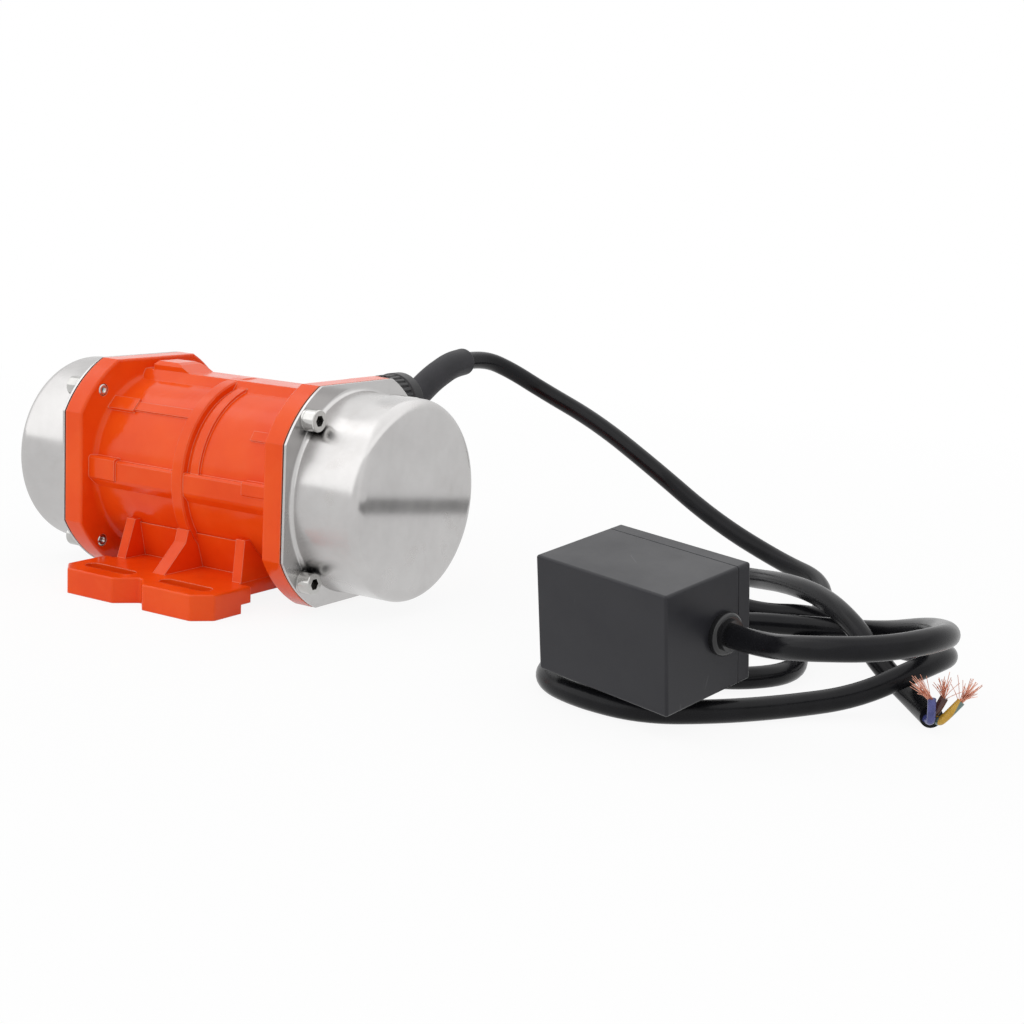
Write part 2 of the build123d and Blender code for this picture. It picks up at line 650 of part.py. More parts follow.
def adjustable_weight():
    """Outer weight, clamped to the shaft by its slit hub."""
    end = ADJUSTABLE_X + WEIGHT_THICKNESS
    lugs = Pos(0, CLAMP_Z) * Rectangle(CLAMP_LUG_WIDTH, 2 * CLAMP_SCREW_R + 6)
    weight = plate(weight_outline() + lugs, ADJUSTABLE_X, end)
    weight -= disc(ADJUSTABLE_X, end, WEIGHT_SEAT_R + RUNNING)
    weight -= block(ADJUSTABLE_X, end, -CLAMP_SLIT / 2, CLAMP_SLIT / 2, 0, 2 * CLAMP_Z)
    middle = (ADJUSTABLE_X + end) / 2
    hole = Pos(middle, 0, CLAMP_Z + 1) * Rot(90, 0, 0) * Cylinder(CLAMP_SCREW_R, 2 * WEIGHT_R)
    seat = Rot(90, 0, 0) * Cylinder(CLAMP_HEAD_R + SLACK, CLAMP_HEAD)
    seat = Pos(middle, (CLAMP_LUG_WIDTH + CLAMP_HEAD) / 2, CLAMP_Z + 1) * seat
    return weight - hole - seat


def clamp_screw():
    """Socket screw across the slit of the adjustable weight."""
    middle = ADJUSTABLE_X + WEIGHT_THICKNESS / 2
    screw = socket_screw(CLAMP_SCREW_R, CLAMP_HEAD_R, CLAMP_HEAD, CLAMP_LUG_WIDTH, CLAMP_HEAD - 1)
    return Pos(middle, CLAMP_LUG_WIDTH / 2, CLAMP_Z + 1) * Rot(0, 0, 90) * screw


def weight_spacers():
    """Washers that space the weights from the bearing and from each other."""
    first = disc(BEARING_END + 2, WEIGHT_X, WEIGHT_SEAT_R + 3.5, WEIGHT_SEAT_R + FIT)
    middle = disc(WEIGHT_X + WEIGHT_THICKNESS, ADJUSTABLE_X - RUNNING, WEIGHT_HUB_R - 1,
                  WEIGHT_SEAT_R + FIT)
    return group([first, middle])


def shaft_ring():
    """External retaining ring at the end of the shaft."""
    start = WEIGHTS_END + 2 * RUNNING
    ring = disc(start, start + RING_THICKNESS - 2 * RUNNING, WEIGHT_SEAT_R + 2, WEIGHT_SEAT_R - 0.75)
    return ring - block(start - 1, start + 3, -1.5, 1.5, 0, 4 * WEIGHT_SEAT_R)


# Covers

def screw_holes(x0, x1, radius):
    """The four clearance holes of a cover or gasket."""
    holes = [Pos(0, y, z) * disc(x0, x1, radius) for y, z in square_pattern(COVER_SCREW_PITCH)]
    return holes[0] + holes[1] + holes[2] + holes[3]


def cover_profile():
    """Section of the drawn cup as (x, radius) wires, outside then inside."""
    inner = CUP_R - COVER_SHEET
    nose = CUP_NOSE_R
    root = CUP_ROOT_R
    outside = FilletPolyline((PLATE_FACE, CUP_R + root + 1), (PLATE_FACE, CUP_R), (CUP_END, CUP_R),
                             (CUP_END, 0), radius=[root, nose])
    end = Line((CUP_END, 0), (CUP_END - COVER_SHEET, 0))
    inside = FilletPolyline((CUP_END - COVER_SHEET, 0), (CUP_END - COVER_SHEET, inner),
                            (COVER_FACE, inner), (COVER_FACE, CUP_R + root + 1),
                            radius=[nose - COVER_SHEET, root + COVER_SHEET])
    close = Line((COVER_FACE, CUP_R + root + 1), (PLATE_FACE, CUP_R + root + 1))
    return make_face([*outside.edges(), end, *inside.edges(), close])


def cover():
    """Drawn stainless cup with its clamping plate in one piece, its root set flat at each screw."""
    cup = revolve(Plane.XZ * cover_profile(), Axis.X)
    rim = flange_outline() - Circle(CUP_R + CUP_ROOT_R + 0.9)
    rim = plate(rim, COVER_FACE, PLATE_FACE)
    trimmed = cup & plate(flange_outline(), COVER_FACE, CUP_END)
    seats = screw_holes(PLATE_FACE, CUP_END, WASHER_R + SLACK / 2)
    return rim + trimmed - screw_holes(COVER_FACE, PLATE_FACE, SCREW_R + SLACK) - seats


def gasket():
    """Flat rubber gasket behind the cover plate."""
    sheet = flange_outline(GASKET_INSET) - Circle(CUP_R)
    return plate(sheet, FLANGE_FACE, COVER_FACE) - screw_holes(FLANGE_FACE, COVER_FACE, SCREW_R + SLACK)


def cover_screws():
    """Four socket screws round the cup."""
    head = PLATE_FACE + WASHER_THICKNESS
    screw = socket_screw(SCREW_R, SCREW_HEAD_R, SCREW_HEAD, SCREW_LENGTH, SCREW_SOCKET)
    return group([Pos(head, y, z) * screw for y, z in square_pattern(COVER_SCREW_PITCH)])


def cover_washers():
    """Spring washers under the screw heads."""
    ring = disc(PLATE_FACE, PLATE_FACE + WASHER_THICKNESS, WASHER_R, SCREW_R + FIT)
    ring -= block(PLATE_FACE, PLATE_FACE + WASHER_THICKNESS, 0, WASHER_R, -0.5, 0.5)
    return group([Pos(0, y, z) * ring for y, z in square_pattern(COVER_SCREW_PITCH)])


# Cable gland and bend protector

def turned_on_entry(*outline):
    """Revolve a profile of (y, radius) points about the cable entry."""
    lathe = revolve(Plane.XZ * Polygon(*outline, align=None), Axis.X)
    return Pos(GLAND_X, 0, GLAND_Z) * Rot(0, 0, 90) * lathe


def toothed_ring(y0, y1, radius, depth, count):
    """A ring with shallow teeth round it."""
    bore = GLAND_THREAD_R + FIT
    ring = turned_on_entry((y0, bore), (y0, radius), (y1, radius), (y1, bore))
    for i in range(count):
        notch = Rot(0, 360 / count * i, 0) * Pos(0, 0, radius) * Rot(0, 45, 0) * Box(depth, y1 - y0, depth)
        ring -= Pos(GLAND_X, (y0 + y1) / 2, GLAND_Z) * notch
    return ring


def gland_body():
    """Gland body screwed into the boss, with a plain collar."""
    tail = GLAND_BOSS_Y - 2 * GLAND_COLLAR
    thread = GLAND_THREAD_R - FIT
    collar_end = NUT_START - RUNNING
    return turned_on_entry((tail, LEAD_HOLE_R), (tail, thread), (GLAND_BOSS_Y, thread),
                           (GLAND_BOSS_Y, GLAND_COLLAR_R), (collar_end, GLAND_COLLAR_R), (collar_end, thread),
                           (SEAL_START, thread), (SEAL_START, LEAD_HOLE_R))


def gland_nut():
    """Gland nut: a toothed grip behind a smooth bevelled ring."""
    bore = GLAND_THREAD_R + FIT
    grip_end = NUT_START + GLAND_GRIP_LENGTH
    rim = GLAND_NUT_R - GLAND_RIM
    ring = turned_on_entry((grip_end, bore), (grip_end, rim), (grip_end + GLAND_RIM, GLAND_NUT_R),
                           (NUT_END - GLAND_RIM, GLAND_NUT_R), (NUT_END, rim),
                           (NUT_END, GLAND_NUT_MOUTH_R), (NUT_END - GLAND_RIM, SLEEVE_R + FIT),
                           (SEAL_END, SLEEVE_R + FIT), (SEAL_END, bore))
    return ring + toothed_ring(NUT_START, grip_end, GLAND_GRIP_R, GLAND_TOOTH, GLAND_TEETH)


def gland_seal():
    """Rubber ring squeezed between body and nut."""
    start = SEAL_START + RUNNING
    end = SEAL_END - RUNNING
    return turned_on_entry((start, 0), (start, GLAND_THREAD_R - FIT), (end, GLAND_THREAD_R - FIT), (end, 0))


def sleeve_route():
    """Centre line of the bend protector, from inside the nut to where the cable leaves."""
    entry = SHAFT_HEIGHT + GLAND_Z
    return [(GLAND_X, SEAL_END, entry), (GLAND_X, NUT_END + 7.5, entry), (GLAND_X, 87, 81.5),
            (GLAND_X, 101, 86.4), MOTOR_CABLE[0]]


def cable_sleeve():
    """Moulded rubber bend protector round the cable."""
    sleeve = tube(sleeve_route(), 2 * SLEEVE_R, "cable_sleeve")
    end = sleeve.edges().filter_by(GeomType.CIRCLE).sort_by(Axis.Y)[-1]
    return fillet(end, 1.6)


# Capacitor box, drawn with its lower right front corner at the origin, open to the back

def box_shell_block(y0, y1):
    """Outside of the box or lid, with its long edges rounded."""
    outer = block(-BOX_WIDTH, 0, y0, y1, 0, BOX_HEIGHT)
    return fillet(outer.edges().filter_by(Axis.Y), BOX_EDGE_R)


def post_places():
    """Screw posts in the four corners, as (x, z)."""
    inset = BOX_WALL + POST_R - 0.5
    return [(x, z) for x in (-inset, inset - BOX_WIDTH) for z in (inset, BOX_HEIGHT - inset)]


def along_y(radius, y0, y1, x, z):
    """A round bar along the depth of the box."""
    return Pos(x, (y0 + y1) / 2, z) * Rot(90, 0, 0) * Cylinder(radius, y1 - y0)


def grommet_hole(x):
    """Round cable hole through an end wall."""
    return Pos(x, GROMMET_Y, BOX_HEIGHT / 2) * Rot(0, 90, 0) * Cylinder(GROMMET_NECK_R, 3 * BOX_WALL)


def box_body():
    """Deep moulded box with screw posts and a cable hole in each end."""
    seam = BOX_DEPTH - LID_DEPTH
    shell = box_shell_block(0, seam)
    shell = fillet(shell.edges().group_by(Axis.Y)[0], BOX_EDGE_R - 0.1)
    shell = chamfer(shell.edges().group_by(Axis.Y)[-1], BOX_SEAM_BEVEL)
    cavity = block(-BOX_WIDTH + BOX_WALL, -BOX_WALL, BOX_WALL, seam, BOX_WALL, BOX_HEIGHT - BOX_WALL)
    shell -= cavity
    for x, z in post_places():
        shell += along_y(POST_R, BOX_WALL - 0.5, seam, x, z)
    shell = shell & box_shell_block(0, seam)
    for x, z in post_places():
        shell -= along_y(BOX_SCREW_R, seam - 12, seam, x, z)
    return shell - grommet_hole(0) - grommet_hole(-BOX_WIDTH)


def box_lid():
    """Lid on the back, seated on the box rim."""
    seam = BOX_DEPTH - LID_DEPTH
    lid = box_shell_block(seam, BOX_DEPTH)
    lid = fillet(lid.edges().group_by(Axis.Y)[-1], BOX_EDGE_R - 0.1)
    lid = chamfer(lid.edges().group_by(Axis.Y)[0], BOX_SEAM_BEVEL)
    lid -= block(-BOX_WIDTH + BOX_WALL, -BOX_WALL, seam, BOX_DEPTH - BOX_WALL, BOX_WALL,
                 BOX_HEIGHT - BOX_WALL)
    for x, z in post_places():
        lid += along_y(POST_R, seam, BOX_DEPTH - BOX_WALL + 0.5, x, z)
    lid = lid & box_shell_block(seam, BOX_DEPTH)
    for x, z in post_places():
        lid -= along_y(BOX_SCREW_R + FIT, seam, BOX_DEPTH, x, z)
        lid -= along_y(2 * BOX_SCREW_R, BOX_DEPTH - 2, BOX_DEPTH, x, z)
    return lid


def box_screws():
    """Four screws that hold the lid, sunk in their counterbores."""
    screws = []
    for x, z in post_places():
        head = along_y(2 * BOX_SCREW_R - 0.1, BOX_DEPTH - 2, BOX_DEPTH - 0.2, x, z)
        cross = block(x - 1.6, x + 1.6, BOX_DEPTH - 1, BOX_DEPTH, z - 0.3, z + 0.3)
        cross += block(x - 0.3, x + 0.3, BOX_DEPTH - 1, BOX_DEPTH, z - 1.6, z + 1.6)
        shank = along_y(BOX_SCREW_R - FIT, BOX_DEPTH - LID_DEPTH - 10, BOX_DEPTH - 2, x, z)
        screws.append(head - cross + shank)
    return group(screws)


def grommet(side):
    """Rubber grommet in an end wall, with a short nose round the cable."""
    face = 0 if side > 0 else -BOX_WIDTH
    bore = CABLE_D / 2 + FIT
    ring = turned((-BOX_WALL - 1.5, bore), (-BOX_WALL - 1.5, GROMMET_R), (-BOX_WALL - FIT, GROMMET_R),
                  (-BOX_WALL - FIT, GROMMET_NECK_R - FIT), (FIT, GROMMET_NECK_R - FIT), (FIT, GROMMET_R),
                  (GROMMET_LIP, GROMMET_R), (GROMMET_LIP, GROMMET_NOSE_R), (GROMMET_NOSE, GROMMET_NOSE_R),
                  (GROMMET_NOSE, bore))
    rounds = ring.edges().filter_by(GeomType.CIRCLE).filter_by(lambda e: abs(e.radius - GROMMET_R) < 0.01)
    lip = rounds.filter_by(lambda e: abs(e.center().X - GROMMET_LIP) < 0.01)
    ring = fillet(lip, GROMMET_LIP / 2)
    return Pos(face, GROMMET_Y, BOX_HEIGHT / 2) * on_side(ring, side)


def capacitor():
    """Motor run capacitor in a rounded case on the floor of the box."""
    case = Pos(-BOX_WIDTH / 2 - 4, 14, BOX_WALL + 13.05) * Box(24, 21, 26)
    return fillet(case.edges().filter_by(Axis.Z), 3)


def terminal_block():
    """Three-way connector that joins the cable to the capacitor."""
    place = Pos(-BOX_WALL - 11.4, 14, BOX_WALL + 5.05)
    base = Box(8, 18, 10)
    for i in (-1, 0, 1):
        base -= Pos(0, 5.6 * i, 4) * Cylinder(1.7, 4)
    return place * base


# Cables: centre lines in place, chosen to lie as the real ones do

def box_point(x, y, z):
    """A place on the box as a point of the whole part."""
    return tuple((BOX_FRAME * Pos(x, y, z)).position)


def grommet_axis(side, distance):
    """A place on the axis of a grommet, so far outside the wall."""
    return box_point(distance if side > 0 else -BOX_WIDTH - distance, GROMMET_Y, BOX_HEIGHT / 2)


MOTOR_CABLE = [
    (33.0, 112.0, 87.5), (33.3, 126.8, 88.9), (39, 141, 84), (52, 150, 74.5), (83, 148, 63), (117, 140, 47),
    (151, 136, 28), (184, 135, 15), (207, 123, 13), (218, 98, 6), (224, 66, 4), (233, 37, 5),
    (242, 12, 5), (232.5, -8, 5), (212, -15, 4), (191, -5.5, 4), (170, -14, 4), (161.5, -35.5, 4),
    (172.5, -57.5, 4), (196.5, -63.5, 4), (220.5, -60.5, 4), (239.5, -45.5, 4), (254.5, -25.5, 4),
    (271, -5, 6), (287, 8, 16), (291, 30, 18), (279, 52, 12), (256, 64, 10), (230, 67, 15),
    (205, 58, 15), (182, 40, 26), (163, 18, 32), (156, -8, 34), (162.5, -25.5, 34),
    grommet_axis(-1, 15), grommet_axis(-1, 1)]
POWER_LEAD = [
    grommet_axis(1, 1), grommet_axis(1, 15), (276.5, -68.5, 37), (299.5, -62, 40), (311, -38, 41),
    (301, -7.5, 37), (279, 13, 28), (244, 20, 21), (207, 31, 15), (176, 32, 5), (149, 41, 4),
    (136, 64, 4), (146, 89, 8), (168, 100, 16), (192, 90, 17), (215, 66, 27), (236, 50, 22),
    (257, 43, 13), (272, 32, 6), (286, 15, 4), (296, -3, 4.1)]


def core_routes():
    """Centre lines of the three cores that fan out of the cut end, with their bare tips."""
    end = Vector(*POWER_LEAD[-1])
    out = (end - Vector(*POWER_LEAD[-2])).normalized()
    right = Vector(0.853, 0.522, 0)
    up = Vector(0, 0, 1)
    routes = {}
    lay = CORE_R * 1.2
    for name, turn, reach, lean in (("blue", 210, 3.8, -0.08), ("brown", 90, 1.3, 0.36),
                                    ("green_yellow", 330, 3.8, 0.66)):
        offset = (right * cos(radians(turn)) + up * sin(radians(turn))) * lay
        start = end + offset - out * offset.dot(out)
        rise = (up + right * lean).normalized()
        bend = start + out * reach
        knee = bend + (out + rise).normalized() * 2.4
        tip = knee + rise * CORE_LENGTH_OUT
        splay = (up + right * (2.2 * lean - 0.5)).normalized()
        routes[name] = ([start, bend, knee, tip], [tip, tip + splay * STRANDS_LENGTH])
    return routes


def core(name):
    """One insulated core, bent up where it leaves the sheath."""
    path = FilletPolyline(*core_routes()[name][0], radius=[CORE_R + 0.1, CORE_R + 0.1])
    return sweep(Plane(origin=path @ 0, z_dir=path % 0) * Circle(CORE_R), path)


def strands(name):
    """Bare end of one core, a little splayed."""
    start, end = core_routes()[name][1]
    rise = start - core_routes()[name][0][-2]
    spread = Plane(origin=end, z_dir=end - start) * Circle(2 * STRANDS_R)
    return loft([Plane(origin=start, z_dir=rise) * Circle(STRANDS_R), spread])


# Assembly: drawn round the shaft and lifted onto the feet

save("housing", LIFT * housing())
save("housing_base", LIFT * housing_base())
save("stator_core", LIFT * stator_core())
save("stator_winding", LIFT * stator_winding())
save("motor_leads", LIFT * motor_leads())
save("shaft", LIFT * shaft())
save("rotor_core", LIFT * rotor_core())
save("rotor_cage", LIFT * rotor_cage())

END_PIECES = {
    "end_shield": end_shield, "shield_ring": shield_ring, "bearing_outer": bearing_outer,
    "bearing_inner": bearing_inner, "bearing_balls": bearing_balls, "bearing_cage": bearing_cage,
    "fixed_weight": fixed_weight, "adjustable_weight": adjustable_weight, "clamp_screw": clamp_screw,
    "weight_spacers": weight_spacers, "shaft_ring": shaft_ring, "gasket": gasket, "cover": cover,
    "cover_washers": cover_washers, "cover_screws": cover_screws}
for end_name, end_side in SIDES.items():
    for piece_name, piece in END_PIECES.items():
        save(piece_name + "_" + end_name, LIFT * on_side(piece(), end_side))
    save("key_" + end_name, LIFT * key(end_side))

save("gland_body", LIFT * gland_body())
save("gland_nut", LIFT * gland_nut())
save("gland_seal", LIFT * gland_seal())
save("cable_sleeve", cable_sleeve())

save("box_body", BOX_FRAME * box_body())
save("box_lid", BOX_FRAME * box_lid())
save("box_screws", BOX_FRAME * box_screws())
save("capacitor", BOX_FRAME * capacitor())
save("terminal_block", BOX_FRAME * terminal_block())
for end_name, end_side in SIDES.items():
    save("grommet_" + end_name, BOX_FRAME * grommet(end_side))

save("motor_cable", tube(MOTOR_CABLE, CABLE_D, "motor_cable"))
save("power_lead", tube(POWER_LEAD, CABLE_D, "power_lead"))
for core_name in core_routes():
    save("core_" + core_name, core(core_name))
    save("strands_" + core_name, strands(core_name))
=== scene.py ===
import math
import random

import bmesh
import bpy
from mathutils import Matrix, Vector


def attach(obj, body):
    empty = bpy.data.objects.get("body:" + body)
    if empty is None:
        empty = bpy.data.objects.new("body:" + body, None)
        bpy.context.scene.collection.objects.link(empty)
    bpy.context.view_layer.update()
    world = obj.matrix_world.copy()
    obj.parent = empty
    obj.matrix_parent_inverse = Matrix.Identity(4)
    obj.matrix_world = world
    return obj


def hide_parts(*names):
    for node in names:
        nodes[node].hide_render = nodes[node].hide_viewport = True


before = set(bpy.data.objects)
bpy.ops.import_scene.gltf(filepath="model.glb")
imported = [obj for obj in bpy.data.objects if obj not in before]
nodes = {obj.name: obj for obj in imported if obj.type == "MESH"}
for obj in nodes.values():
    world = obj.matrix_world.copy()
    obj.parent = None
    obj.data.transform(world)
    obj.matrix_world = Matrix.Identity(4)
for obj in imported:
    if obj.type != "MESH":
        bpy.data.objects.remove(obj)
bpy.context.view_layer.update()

MM = 0.001

# Camera
# The photograph was taken a little above the motor, from the right of its front face,
# with a lens of about 60 mm on a full frame.
SENSOR_WIDTH = 36.0
LENS = 59.9
CAMERA_PLACE = (0.4549, -0.5293, 0.1648)
CAMERA_RIGHT = Vector((0.8464, 0.5299, 0.0525))
CAMERA_UP = Vector((-0.1425, 0.1305, 0.9812))
camera_data = bpy.data.cameras.new("camera")
camera_data.sensor_width = SENSOR_WIDTH
camera_data.lens = LENS
camera_data.clip_start = 0.01
camera = bpy.data.objects.new("camera", camera_data)
camera_turn = Matrix((CAMERA_RIGHT, CAMERA_UP, CAMERA_RIGHT.cross(CAMERA_UP))).transposed()
camera.matrix_world = Matrix.Translation(CAMERA_PLACE) @ camera_turn.to_4x4()
bpy.context.scene.collection.objects.link(camera)
bpy.context.scene.camera = camera
bpy.context.scene.view_settings.view_transform = "Standard"


# Floor and light
# A white sheet of paper under the object, three soft boxes above it, and an even white
# tent all round, which polished faces also show. A glowing card with one dimmer stripe stands
# before the motor's end face, seen in reflections and nowhere else: a painted reflection, pale with one
# dark band, on the end face.
def new_finish(name):
    """A node material, with its node tree and its shader."""
    material = bpy.data.materials.new(name)
    material.use_nodes = True
    return material, material.node_tree, material.node_tree.nodes["Principled BSDF"]


def add(tree, kind, **values):
    """A shader node with its settings, and its inputs where a value names one."""
    made = tree.nodes.new(kind)
    for name, value in values.items():
        if hasattr(made, name):
            setattr(made, name, value)
        else:
            made.inputs[name.replace("_", " ")].default_value = value
    return made


def seen_directly(tree):
    """One where the camera, a reflection or a clear piece looks, and zero where light is gathered."""
    path = add(tree, "ShaderNodeLightPath")
    total = path.outputs["Is Camera Ray"]
    for ray in ("Is Glossy Ray", "Is Transmission Ray"):
        either = add(tree, "ShaderNodeMath", operation="MAXIMUM")
        tree.links.new(total, either.inputs[0])
        tree.links.new(path.outputs[ray], either.inputs[1])
        total = either.outputs[0]
    return total


FLOOR_REACH = 6.0
PAPER_TONE = 0.9
NEAR_GLOW = 0.90
GLOW_START = 0.15
GLOW_END = 0.75
work = bmesh.new()
bmesh.ops.create_grid(work, x_segments=1, y_segments=1, size=FLOOR_REACH)
floor_mesh = bpy.data.meshes.new("floor")
work.to_mesh(floor_mesh)
work.free()
floor = bpy.data.objects.new("floor", floor_mesh)
bpy.context.scene.collection.objects.link(floor)

paper, tree, shader = new_finish("white_paper")
floor_mesh.materials.append(paper)
shader.inputs["Base Color"].default_value = (PAPER_TONE, PAPER_TONE, PAPER_TONE, 1)
shader.inputs["Roughness"].default_value = 0.9
shader.inputs["Specular IOR Level"].default_value = 0.1
glow = add(tree, "ShaderNodeEmission", Color=(1, 1, 1, 1), Strength=1.0)
place = add(tree, "ShaderNodeTexCoord")
away = add(tree, "ShaderNodeVectorMath", operation="LENGTH")
tree.links.new(place.outputs["Object"], away.inputs[0])
fade = add(tree, "ShaderNodeMapRange", From_Min=GLOW_START, From_Max=GLOW_END,
           To_Min=NEAR_GLOW, To_Max=1.0)
tree.links.new(away.outputs["Value"], fade.inputs["Value"])
share = add(tree, "ShaderNodeMath", operation="MULTIPLY")
tree.links.new(fade.outputs["Result"], share.inputs[1])
tree.links.new(seen_directly(tree), share.inputs[0])
blend = add(tree, "ShaderNodeMixShader")
tree.links.new(share.outputs[0], blend.inputs["Fac"])
tree.links.new(shader.outputs[0], blend.inputs[1])
tree.links.new(glow.outputs[0], blend.inputs[2])
tree.links.new(blend.outputs[0], tree.nodes["Material Output"].inputs["Surface"])

TENT_LIGHT = 0.5
TENT_SEEN = 1.0
world = bpy.data.worlds.new("tent")
world.use_nodes = True
bpy.context.scene.world = world
tree = world.node_tree
tent = tree.nodes["Background"]
tent.inputs["Color"].default_value = (1, 1, 1, 1)
tent.inputs["Strength"].default_value = TENT_LIGHT
behind = add(tree, "ShaderNodeBackground", Color=(1, 1, 1, 1), Strength=TENT_SEEN)
blend = add(tree, "ShaderNodeMixShader")
tree.links.new(seen_directly(tree), blend.inputs["Fac"])
tree.links.new(tent.outputs[0], blend.inputs[1])
tree.links.new(behind.outputs[0], blend.inputs[2])
tree.links.new(blend.outputs[0], tree.nodes["World Output"].inputs["Surface"])

# A glowing card seen only in reflections: a painted reflection that lays a pale sheen with one dark band
# over the cover's end face.
CARD_X = 0.120
CARD_REACH = (-0.05, 0.125)
CARD_HEIGHT = (0.0005, 0.10)
STRIPE_HEIGHT = (0.0358, 0.0422)
STRIPE_SLOPE = -0.130
CARD_GLOW_STRENGTH = 0.97
STRIPE_GLOW_STRENGTH = 0.30
work = bmesh.new()
rows = [[work.verts.new((CARD_X, along, level + tilt * along)) for along in CARD_REACH] for level, tilt in (
    (CARD_HEIGHT[0], 0.0), (STRIPE_HEIGHT[0], STRIPE_SLOPE), (STRIPE_HEIGHT[1], STRIPE_SLOPE),
    (CARD_HEIGHT[1], 0.0))]
for number, (lower, upper) in enumerate(zip(rows, rows[1:])):
    strip = work.faces.new((*lower, *reversed(upper)))
    strip.material_index = number % 2
card_mesh = bpy.data.meshes.new("reflection_glow_card")
work.to_mesh(card_mesh)
work.free()
card = bpy.data.objects.new("reflection_glow_card", card_mesh)
bpy.context.scene.collection.objects.link(card)
card.visible_camera = card.visible_diffuse = card.visible_shadow = card.visible_transmission = False
# The card and its stripe only glow and light nothing: the white part and the dimmer stripe are the painted
# reflection.
for name, brightness in (("reflection_glow_card", CARD_GLOW_STRENGTH), ("reflected_dark_stripe", STRIPE_GLOW_STRENGTH)):
    card_glow_finish, tree, shader = new_finish(name)
    card_mesh.materials.append(card_glow_finish)
    shader.inputs["Base Color"].default_value = (0.0, 0.0, 0.0, 1)
    shader.inputs["Specular IOR Level"].default_value = 0.0
    shader.inputs["Emission Color"].default_value = (1, 1, 1, 1)
    shader.inputs["Emission Strength"].default_value = brightness

for name, place, aim, width, height, power in (
        ("soft_box_left", (-0.55, -0.75, 0.85), (0.05, 0.0, 0.05), 2.2, 1.5, 8.2),
        ("soft_box_right", (1.1, -0.35, 0.75), (0.15, 0.0, 0.05), 1.6, 1.6, 1.0),
        ("soft_box_top", (0.2, 0.25, 1.1), (0.1, 0.0, 0.0), 2.4, 1.8, 6.8)):
    lamp_data = bpy.data.lights.new(name, "AREA")
    lamp_data.shape = "RECTANGLE"
    lamp_data.size = width
    lamp_data.size_y = height
    lamp_data.energy = power
    lamp = bpy.data.objects.new(name, lamp_data)
    lamp.location = place
    lamp.rotation_euler = (Vector(aim) - Vector(place)).to_track_quat("-Z", "Y").to_euler()
    bpy.context.scene.collection.objects.link(lamp)


# Housing
# One aluminium casting, sprayed with a thick gloss orange enamel that pools in the corners.
# A pale tint along its sharp edges and inner corners is a painted highlight.
def pattern(tree, scale, detail=4.0, stretch=(1, 1, 1), roughness=0.55):
    """Cloudy noise fixed to the piece, drawn out along an axis where the finish has a grain."""
    place = add(tree, "ShaderNodeTexCoord")
    grain = add(tree, "ShaderNodeMapping", Scale=stretch)
    noise = add(tree, "ShaderNodeTexNoise", Scale=scale, Detail=detail, Roughness=roughness)
    tree.links.new(place.outputs["Object"], grain.inputs["Vector"])
    tree.links.new(grain.outputs["Vector"], noise.inputs["Vector"])
    return noise.outputs["Fac"]


def ranged(tree, factor, low, high, start=0.35, end=0.65):
    """A pattern turned into a range of values."""
    spread = add(tree, "ShaderNodeMapRange", From_Min=start, From_Max=end, To_Min=low, To_Max=high)
    tree.links.new(factor, spread.inputs["Value"])
    return spread.outputs["Result"]


def tinted(tree, factor, low, high, start=0.35, end=0.65):
    """A pattern turned into a blend of two colours."""
    ramp = add(tree, "ShaderNodeValToRGB")
    for stop, place, colour in zip(ramp.color_ramp.elements, (start, end), (low, high)):
        stop.position = place
        stop.color = (*colour, 1)
    tree.links.new(factor, ramp.inputs["Fac"])
    return ramp.outputs["Color"]


def mixed(tree, factor, first, second):
    """Two colours laid over each other by a factor."""
    mix = add(tree, "ShaderNodeMix", data_type="RGBA")
    for socket, value in ((mix.inputs[0], factor), (mix.inputs[6], first), (mix.inputs[7], second)):
        if isinstance(value, bpy.types.NodeSocket):
            tree.links.new(value, socket)
        elif isinstance(value, tuple):
            socket.default_value = (*value, 1)
        else:
            socket.default_value = value
    return mix.outputs[2]


def relief(tree, height, depth, strength=1.0, under=None):
    """Small height changes, laid on the normal that another relief gave."""
    bump = add(tree, "ShaderNodeBump", Strength=strength, Distance=depth)
    tree.links.new(height, bump.inputs["Height"])
    if under is not None:
        tree.links.new(under, bump.inputs["Normal"])
    return bump.outputs["Normal"]


EDGE_START = 0.02
EDGE_END = 0.3


def edge_of(tree, radius):
    """A mask of the sharp edges, and the normal that rounds them off."""
    rounded = add(tree, "ShaderNodeBevel", samples=6, Radius=radius)
    plain = add(tree, "ShaderNodeNewGeometry")
    turn = add(tree, "ShaderNodeVectorMath", operation="DOT_PRODUCT")
    tree.links.new(rounded.outputs["Normal"], turn.inputs[0])
    tree.links.new(plain.outputs["Normal"], turn.inputs[1])
    away = add(tree, "ShaderNodeMath", operation="SUBTRACT")
    away.inputs[0].default_value = 1.0
    tree.links.new(turn.outputs["Value"], away.inputs[1])
    return ranged(tree, away.outputs[0], 0.0, 1.0, EDGE_START, EDGE_END), rounded.outputs["Normal"]


def set_links(tree, shader, **sources):
    """Join sockets to the shader's inputs by their names."""
    for name, source in sources.items():
        tree.links.new(source, shader.inputs[name.replace("_", " ")])


def coat(material, *names):
    """Give frame nodes their finish."""
    for name in names:
        slots = nodes[name].data.materials
        if len(slots) == 0:
            slots.append(material)
        for place in range(len(slots)):
            slots[place] = material


enamel, tree, shader = new_finish("orange_enamel")
edges, rounded = edge_of(tree, 0.6 * MM)
body_tone = tinted(tree, pattern(tree, 38.0, 5.0), (0.84, 0.072, 0.005), (0.90, 0.094, 0.008))
dusty = ranged(tree, pattern(tree, 150.0, 5.0, roughness=0.6), 0.0, 0.14, 0.54, 0.72)
body_tone = mixed(tree, dusty, body_tone, (0.84, 0.13, 0.03))
